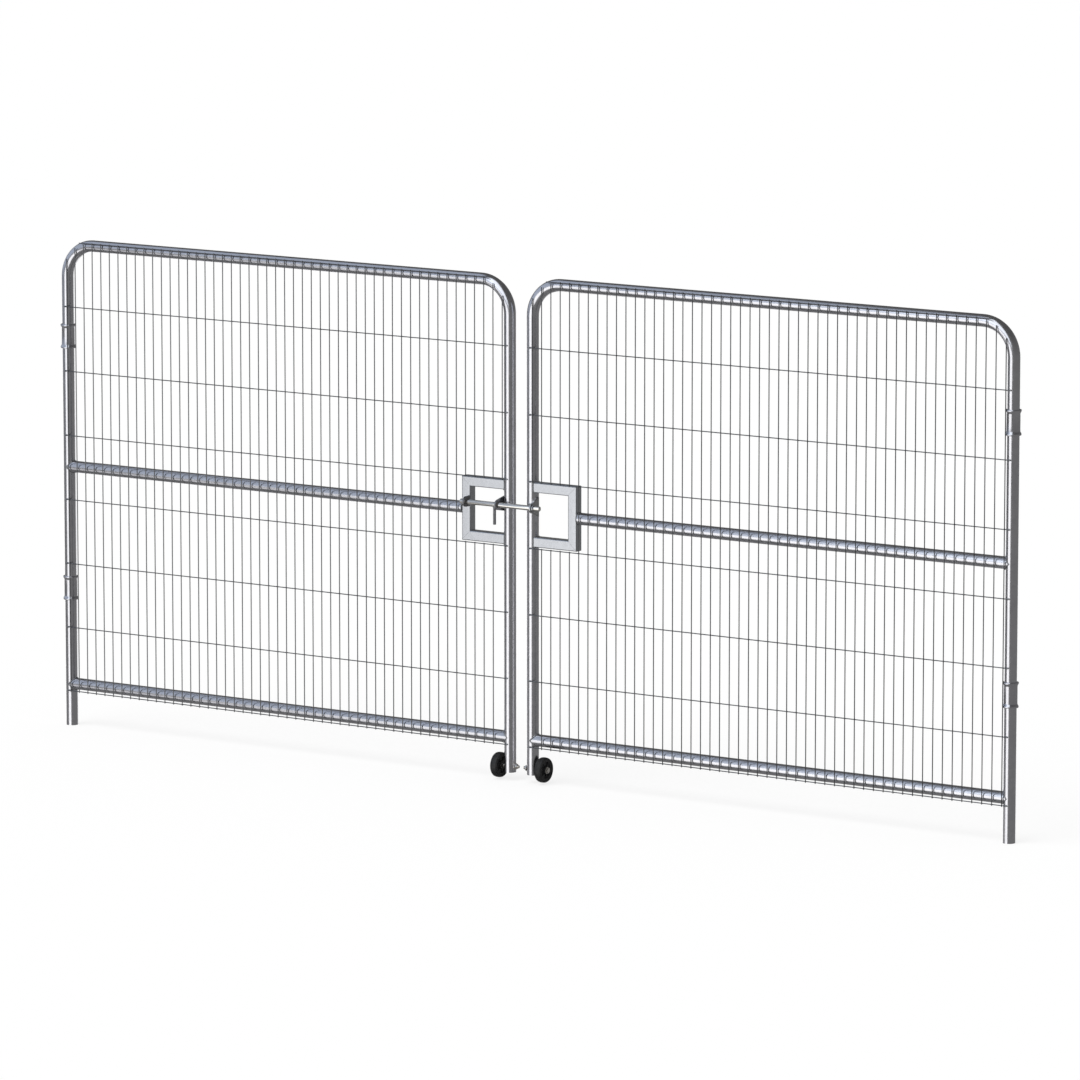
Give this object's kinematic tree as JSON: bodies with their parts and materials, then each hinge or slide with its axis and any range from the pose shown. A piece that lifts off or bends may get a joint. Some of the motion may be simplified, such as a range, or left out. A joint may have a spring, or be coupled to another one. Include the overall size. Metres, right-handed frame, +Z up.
{
  "type": "double-leaf site gate",
  "caption": "Vehicle gate for a fenced site: two mesh-filled tube leaves that swing in sleeves, meeting at a slide bolt, with a wheel at each free end.",
  "frame": {"origin": "a point on the flat underside of the left lower sleeve's flange, on the gate's middle plane, on the side away from the gate", "axes": "+X along the closed gate from the left hinge to the right one, +Z up, -Y is the side with the mesh and the slide bolt"},
  "size_m": [4.4496, 0.1165, 2],
  "materials": {
    "galvanised_tube": "hot-dip galvanised round tube, smooth with a faint spangle",
    "galvanised_wire": "galvanised welded wire",
    "galvanised_section": "galvanised square section and plate, light grey",
    "sleeve_steel": "galvanised turned sleeve",
    "zinc_fittings": "zinc-plated bolt, rod and nut",
    "wheel_tyre": "solid black rubber",
    "wheel_hub": "black moulded plastic"
  },
  "bodies": {
    "root": {"left_upper_sleeve": "sleeve_steel", "left_lower_sleeve": "sleeve_steel", "right_upper_sleeve": "sleeve_steel", "right_lower_sleeve": "sleeve_steel"},
    "left_leaf": {"left_frame_tube": "galvanised_tube", "left_mid_rail": "galvanised_tube", "left_bottom_rail": "galvanised_tube", "left_lock_top_bar": "galvanised_section", "left_lock_side_bar": "galvanised_section", "left_lock_bottom_bar": "galvanised_section", "left_mesh_panel": "galvanised_wire", "left_wheel_axle": "zinc_fittings", "left_wheel_nut": "zinc_fittings", "left_wheel_spacer": "zinc_fittings", "left_outer_bolt_guide": "galvanised_section", "left_inner_bolt_guide": "galvanised_section"},
    "right_leaf": {"right_frame_tube": "galvanised_tube", "right_mid_rail": "galvanised_tube", "right_bottom_rail": "galvanised_tube", "right_lock_top_bar": "galvanised_section", "right_lock_side_bar": "galvanised_section", "right_lock_bottom_bar": "galvanised_section", "right_mesh_panel": "galvanised_wire", "right_wheel_axle": "zinc_fittings", "right_wheel_nut": "zinc_fittings", "right_wheel_spacer": "zinc_fittings", "right_bolt_keeper": "galvanised_section"},
    "slide_bolt": {"bolt_bar": "zinc_fittings", "bolt_handle": "zinc_fittings"},
    "left_wheel": {"left_wheel_tyre": "wheel_tyre", "left_wheel_hub": "wheel_hub"},
    "right_wheel": {"right_wheel_tyre": "wheel_tyre", "right_wheel_hub": "wheel_hub"}
  },
  "joints": [
    {"name": "left_leaf_swing", "type": "hinge", "parent": "root", "child": "left_leaf", "pos_m": [0.02728, 0, 0], "axis": [0, 0, 1], "range_deg": [-90, 90]},
    {"name": "right_leaf_swing", "type": "hinge", "parent": "root", "child": "right_leaf", "pos_m": [4.41388, 0, 0], "axis": [0, 0, -1], "range_deg": [-90, 90]},
    {"name": "bolt_slide", "type": "slide", "parent": "left_leaf", "child": "slide_bolt", "axis": [-1, 0, 0], "range_m": [0, 0.12]},
    {"name": "left_wheel_spin", "type": "hinge", "parent": "left_leaf", "child": "left_wheel", "pos_m": [2.11723, 0, -0.4635], "axis": [1, 0, 0], "continuous": true},
    {"name": "right_wheel_spin", "type": "hinge", "parent": "right_leaf", "child": "right_wheel", "pos_m": [2.32393, 0, -0.4635], "axis": [1, 0, 0], "continuous": true}
  ]
}
